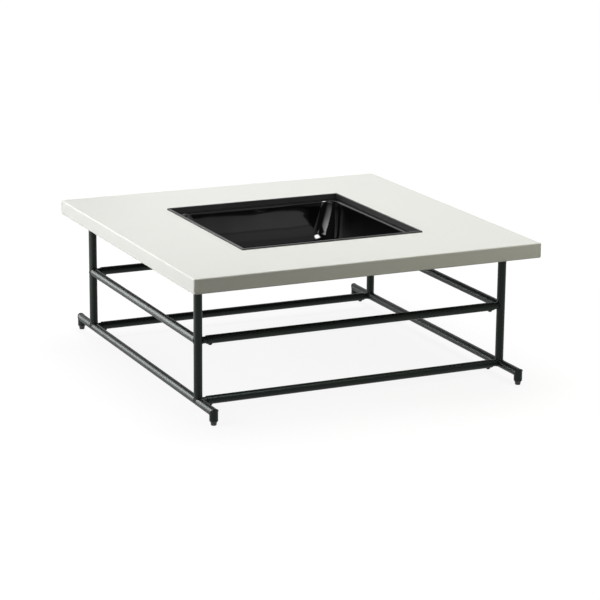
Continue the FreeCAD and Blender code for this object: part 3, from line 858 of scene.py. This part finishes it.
def studio_floor(bounce):
    """Pale floor: white to the eye with a faint shadow, and a soft bounce on the object."""
    finish = Finish("pale_floor")
    cast = finish.node("ShaderNodeBsdfDiffuse", sockets={"Color": rgba(FLOOR_TINT, bounce)})
    shaded = finish.node("ShaderNodeBsdfDiffuse", sockets={"Color": grey(0.15)})
    away = finish.node("ShaderNodeVectorMath", {"operation": "LENGTH"}, {0: finish.place()}, "Value")
    level = finish.blend(finish.band(away, low=0.8, high=3.0), grey(0.89), grey(1.0))
    glow = finish.node("ShaderNodeEmission", sockets={"Color": level, "Strength": 1.0})
    seen = finish.node("ShaderNodeAddShader", sockets={0: shaded, 1: glow})
    mixed = finish.node("ShaderNodeMixShader", sockets={0: seen_straight(finish), 1: cast, 2: seen})
    builder = bmesh.new()
    bmesh.ops.create_grid(builder, x_segments=8, y_segments=8, size=FLOOR_HALF_WIDTH)
    new_object(builder, "studio_floor", finish.end(mixed))


def area_light(name, place, target, width, power, colour=(1.0, 1.0, 1.0)):
    """Square light that shows neither to the camera nor in gloss."""
    light = bpy.data.lights.new(name, "AREA")
    light.shape = "SQUARE"
    light.size = width
    light.energy = power
    light.color = colour
    lamp = bpy.data.objects.new(name, light)
    lamp.location = place
    lamp.rotation_mode = "QUATERNION"
    lamp.rotation_quaternion = (Vector(target) - Vector(place)).to_track_quat("-Z", "Y")
    lamp.visible_camera = False
    lamp.visible_glossy = False
    bpy.context.scene.collection.objects.link(lamp)


def hang_cards():
    """Cards round the set that only gloss sees: grey and glowing ones, with dark ones behind."""
    reflector_card("grey_front_card", towards(307, 20, 3.0), size=(1.95, 2.6), strength=1.0,
                   rise=((0.0, 0.66), (0.475, 0.72), (0.485, 0.40), (0.505, 0.40), (0.515, 0.56),
                         (1.0, 0.40)), edge=0.55, softness=0.5)
    reflector_card("grey_high_card", towards(304, 58, 3.0), size=(2.2, 1.9), strength=0.36)
    reflector_card("dark_front_card", towards(270, 30, 4.2), size=(6.5, 3.5), strength=0.03)
    reflector_card("dark_side_card", towards(161, 33, 2.7), size=(2.8, 3.2), strength=0.03)
    reflector_card("dark_near_card", Vector((-0.43, 0.98, 0.68)), size=(0.62, 0.5), strength=0.02)
    reflector_card("dark_ceiling_card", towards(0, 90, 3.9), size=(9.0, 9.0), strength=0.02)
    reflector_card("tall_softbox", towards(200, 32, 3.2), size=(5.0, 2.5), strength=6.5,
                   rise=((0.0, 0.0), (0.25, 0.30), (0.55, 0.50), (0.75, 0.9), (0.95, 1.0), (1.0, 0.0)),
                   edge=0.0)
    reflector_card("small_softbox", towards(280, 63, 2.8), size=(1.3, 1.9), strength=34.0,
                   rise=((0.0, 0.0), (0.3, 1.0), (0.7, 1.0), (1.0, 0.0)), edge=0.0, softness=0.7)
    reflector_card("back_softbox", Vector((-1.6, 2.1, 0.95)), size=(1.4, 1.5), strength=17.0,
                   edge=0.0, softness=0.8)
    reflector_card("low_side_card", Vector((-1.12, 0.25, 0.11)), size=(1.7, 0.21), strength=4.2,
                   edge=0.0, softness=0.4)


def towards(azimuth, elevation, distance):
    """A place that far from the pan's rim; azimuth turns from +X to +Y, both in degrees."""
    turn, rise = math.radians(azimuth), math.radians(elevation)
    return PAN_MIDDLE + distance * Vector((math.cos(turn) * math.cos(rise),
                                           math.sin(turn) * math.cos(rise), math.sin(rise)))


def reflector_card(name, place, size, strength, rise=None, edge=1.0, softness=1.0):
    """Card facing the pan, seen by glossy rays alone.

    Its glow follows stops from its foot to its head, and falls to the edge share towards its sides
    over the given softness of its half width.
    """
    finish = Finish(name)
    across = finish.node("ShaderNodeSeparateXYZ", sockets={0: finish.place()}, output="X")
    glow = finish.band(1.0 - abs(across), low=0.0, high=softness, to_low=edge)
    if rise:
        stops = [(share, grey(level)) for share, level in rise]
        height = finish.band(across.also("Y"), low=-1.0, high=1.0)
        ramp = finish.node("ShaderNodeValToRGB", {"stops": stops}, {0: height})
        glow = glow * finish.node("ShaderNodeRGBToBW", sockets={0: ramp})
    level = finish.blend(glow, grey(0.0), grey(1.0))
    shine = finish.node("ShaderNodeEmission", sockets={"Color": level, "Strength": strength})
    builder = bmesh.new()
    bmesh.ops.create_grid(builder, x_segments=1, y_segments=1, size=1.0)
    card = new_object(builder, name, finish.end(shine))
    card.location = place
    card.rotation_mode = "QUATERNION"
    card.rotation_quaternion = (PAN_MIDDLE - place).to_track_quat("-Z", "Y")
    card.scale = (size[0] / 2, size[1] / 2, 1)
    card.visible_camera = False
    card.visible_diffuse = False
    card.visible_transmission = False
    card.visible_shadow = False


def photograph_camera():
    """Camera at the photograph's place and angle, fitted to the table's edges."""
    yaw, pitch, roll = CAMERA_YAW, CAMERA_PITCH, CAMERA_ROLL
    ahead = Vector((math.sin(yaw) * math.cos(pitch), math.cos(yaw) * math.cos(pitch), -math.sin(pitch)))
    level = Vector((math.cos(yaw), -math.sin(yaw), 0))
    right = math.cos(roll) * level + math.sin(roll) * level.cross(ahead)
    up = right.cross(ahead)
    data = bpy.data.cameras.new("photograph_camera")
    data.sensor_width = CAMERA_SENSOR
    data.lens = CAMERA_LENS
    data.clip_start = 0.1
    data.clip_end = 200.0
    camera = bpy.data.objects.new("photograph_camera", data)
    turn = Matrix((right, up, -ahead)).transposed()
    camera.matrix_world = Matrix.Translation(CAMERA_PLACE) @ turn.to_4x4()
    bpy.context.scene.collection.objects.link(camera)
    return camera


class FIREPIT_PT_sidebar(bpy.types.Panel):
    """Lists the table's steps, sizes and colours"""
    bl_idname = "FIREPIT_PT_sidebar"
    bl_label = "Fire Pit Table"
    bl_space_type = "VIEW_3D"
    bl_region_type = "UI"
    bl_category = "Fire Pit"

    def draw(self, context):
        for step in STEPS:
            self.layout.operator(step.bl_idname)
        for group in (context.scene.fire_pit_sizes, context.scene.fire_pit_colours,
                      context.scene.fire_pit_studio):
            for name in group.__annotations__:
                self.layout.prop(group, name)


STEPS = (FIREPIT_OT_top, FIREPIT_OT_frame, FIREPIT_OT_collar, FIREPIT_OT_pan, FIREPIT_OT_fasteners,
         FIREPIT_OT_feet, FIREPIT_OT_frame_welds, FIREPIT_OT_top_welds, FIREPIT_OT_stage)
CLASSES = (FirePitSizes, FirePitColours, FirePitStudio, *STEPS, FIREPIT_PT_sidebar)


def register():
    for cls in CLASSES:
        bpy.utils.register_class(cls)
    bpy.types.Scene.fire_pit_sizes = PointerProperty(type=FirePitSizes)
    bpy.types.Scene.fire_pit_colours = PointerProperty(type=FirePitColours)
    bpy.types.Scene.fire_pit_studio = PointerProperty(type=FirePitStudio)


def unregister():
    del bpy.types.Scene.fire_pit_studio
    del bpy.types.Scene.fire_pit_colours
    del bpy.types.Scene.fire_pit_sizes
    for cls in reversed(CLASSES):
        bpy.utils.unregister_class(cls)


def main():
    register()
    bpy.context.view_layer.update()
    for step in STEPS:
        group, name = step.bl_idname.split(".")
        getattr(getattr(bpy.ops, group), name)()
    bpy.context.view_layer.update()


if __name__ == "__main__":
    main()
